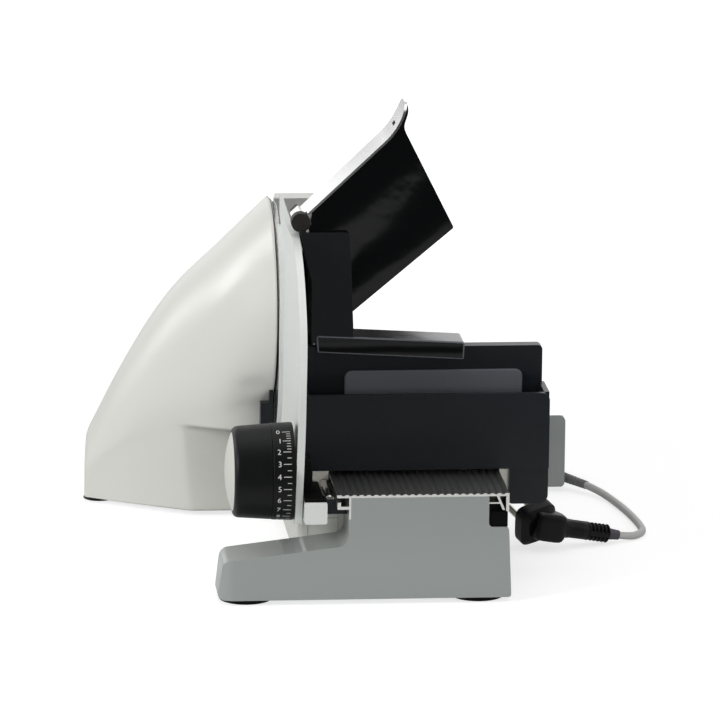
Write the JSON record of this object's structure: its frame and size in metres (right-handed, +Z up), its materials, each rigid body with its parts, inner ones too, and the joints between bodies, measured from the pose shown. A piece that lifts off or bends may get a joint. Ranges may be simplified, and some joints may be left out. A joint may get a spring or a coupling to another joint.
{
  "type": "electric food slicer",
  "caption": "Electric kitchen slicer: round blade in a motor housing, screw-set stop plate, sliding carriage on a track, remnant holder with hinged flap, cord and plug.",
  "frame": {"origin": "middle of the bounding box at the table, without the free cord", "axes": "+X from the motor housing towards the carriage side where the operator stands, +Y from the front foot with the knob to the rear foot with the cord, +Z up"},
  "size_m": [0.383, 0.3482, 0.3185],
  "materials": {
    "enamel": "glossy warm light grey enamel",
    "grey_paint": "glossy mid grey paint",
    "plate_silver": "satin silver-grey",
    "track_aluminium": "extruded, bright",
    "zinc_steel": "zinc plated",
    "polished_steel": "polished",
    "blade_steel": "ground, fine circular grain",
    "tray_steel": "brushed",
    "flap_steel": "satin",
    "dark_plastic": "fine matte grain",
    "gloss_black": "high gloss black",
    "pad_grey": "soft matte grey",
    "knob_black": "satin black",
    "cap_grey": "satin light grey",
    "foot_rubber": "soft black",
    "cord_grey": "soft sheath, satin light grey",
    "plug_black": "moulded, satin black",
    "nickel": "nickel plated",
    "white_nylon": "natural nylon",
    "bronze": "sintered bronze and enamelled copper",
    "lamination": "stacked sheet steel"
  },
  "bodies": {
    "base": {"front_foot": "grey_paint", "front_foot_base": "zinc_steel", "rear_foot": "grey_paint", "rear_foot_cover": "zinc_steel", "suction_feet": "foot_rubber", "base_beam": "enamel", "guide_bushes": "bronze", "carriage_track": "track_aluminium", "guide_rod": "polished_steel", "rod_blocks": "dark_plastic", "motor_housing": "enamel", "housing_base": "zinc_steel", "housing_screws": "polished_steel", "bearing_plate": "zinc_steel", "gear_frame": "zinc_steel", "motor_stator": "lamination", "stator_windings": "bronze", "motor_bracket": "zinc_steel", "shaft_bearings": "bronze", "blade_hood": "enamel", "plate_guide": "dark_plastic", "spindle_block": "plate_silver", "spindle_bracket": "dark_plastic", "thread_spindle": "polished_steel", "switch_body": "white_nylon", "cord_gland": "cord_grey", "mains_cord": "cord_grey", "plug_boot": "plug_black", "plug_body": "plug_black", "plug_pins": "nickel"},
    "blade_group": {"blade": "blade_steel", "blade_hub": "knob_black", "blade_shaft": "polished_steel", "blade_bolt": "polished_steel", "drive_gear": "white_nylon"},
    "rotor": {"rotor_core": "lamination", "rotor_shaft": "polished_steel", "cooling_fan": "white_nylon"},
    "plate": {"stop_plate": "plate_silver", "plate_carrier": "zinc_steel", "guide_bars": "polished_steel"},
    "knob": {"knob_body": "knob_black", "scale_ring": "knob_black", "knob_cap": "cap_grey", "knob_nut": "bronze"},
    "carriage": {"carriage_shell": "dark_plastic", "food_tray": "tray_steel", "grip_pad": "pad_grey", "rod_bushes": "white_nylon", "track_glides": "white_nylon"},
    "holder": {"holder_saddle": "gloss_black", "holder_tower": "gloss_black", "pusher_spikes": "polished_steel", "hinge_pin": "polished_steel"},
    "flap": {"flap_plate": "flap_steel", "flap_box": "gloss_black", "flap_back": "gloss_black"},
    "power": {"power_button": "knob_black"},
    "pulse": {"pulse_button": "knob_black"}
  },
  "joints": [
    {"name": "blade_spin", "type": "hinge", "parent": "base", "child": "blade_group", "pos_m": [-0.04025, 0.07425, 0.135], "axis": [1, 0, 0], "continuous": true},
    {"name": "rotor_spin", "type": "hinge", "parent": "base", "child": "rotor", "pos_m": [-0.09025, 0.10742, 0.1109], "axis": [1, 0, 0], "continuous": true},
    {"name": "plate_slide", "type": "slide", "parent": "base", "child": "plate", "axis": [-1, 0, 0], "range_m": [0, 0.02]},
    {"name": "knob_turn", "type": "hinge", "parent": "plate", "child": "knob", "pos_m": [-0.06525, -0.13075, 0.0825], "axis": [-1, 0, 0], "range_deg": [0, 300]},
    {"name": "carriage_slide", "type": "slide", "parent": "base", "child": "carriage", "axis": [0, 1, 0], "range_m": [0, 0.15]},
    {"name": "holder_slide", "type": "slide", "parent": "carriage", "child": "holder", "axis": [1, 0, 0], "range_m": [0, 0.05]},
    {"name": "flap_swing", "type": "hinge", "parent": "holder", "child": "flap", "pos_m": [-0.03685, -0.06475, 0.2394], "axis": [0, 1, 0], "range_deg": [-70, 0]},
    {"name": "power_press", "type": "slide", "parent": "base", "child": "power", "axis": [0, -0.2504, -0.9681], "range_m": [0, 0.0025], "stiffness_N_per_m": 500, "springref_m": -0.001},
    {"name": "pulse_press", "type": "slide", "parent": "base", "child": "pulse", "axis": [0, -0.2504, -0.9681], "range_m": [0, 0.0025], "stiffness_N_per_m": 500, "springref_m": -0.001}
  ],
  "couplings": [
    {"joint": "rotor_spin", "follows": "blade_spin", "ratio": -3.5556},
    {"joint": "knob_turn", "follows": "plate_slide", "rad_per_m": 261.8}
  ]
}
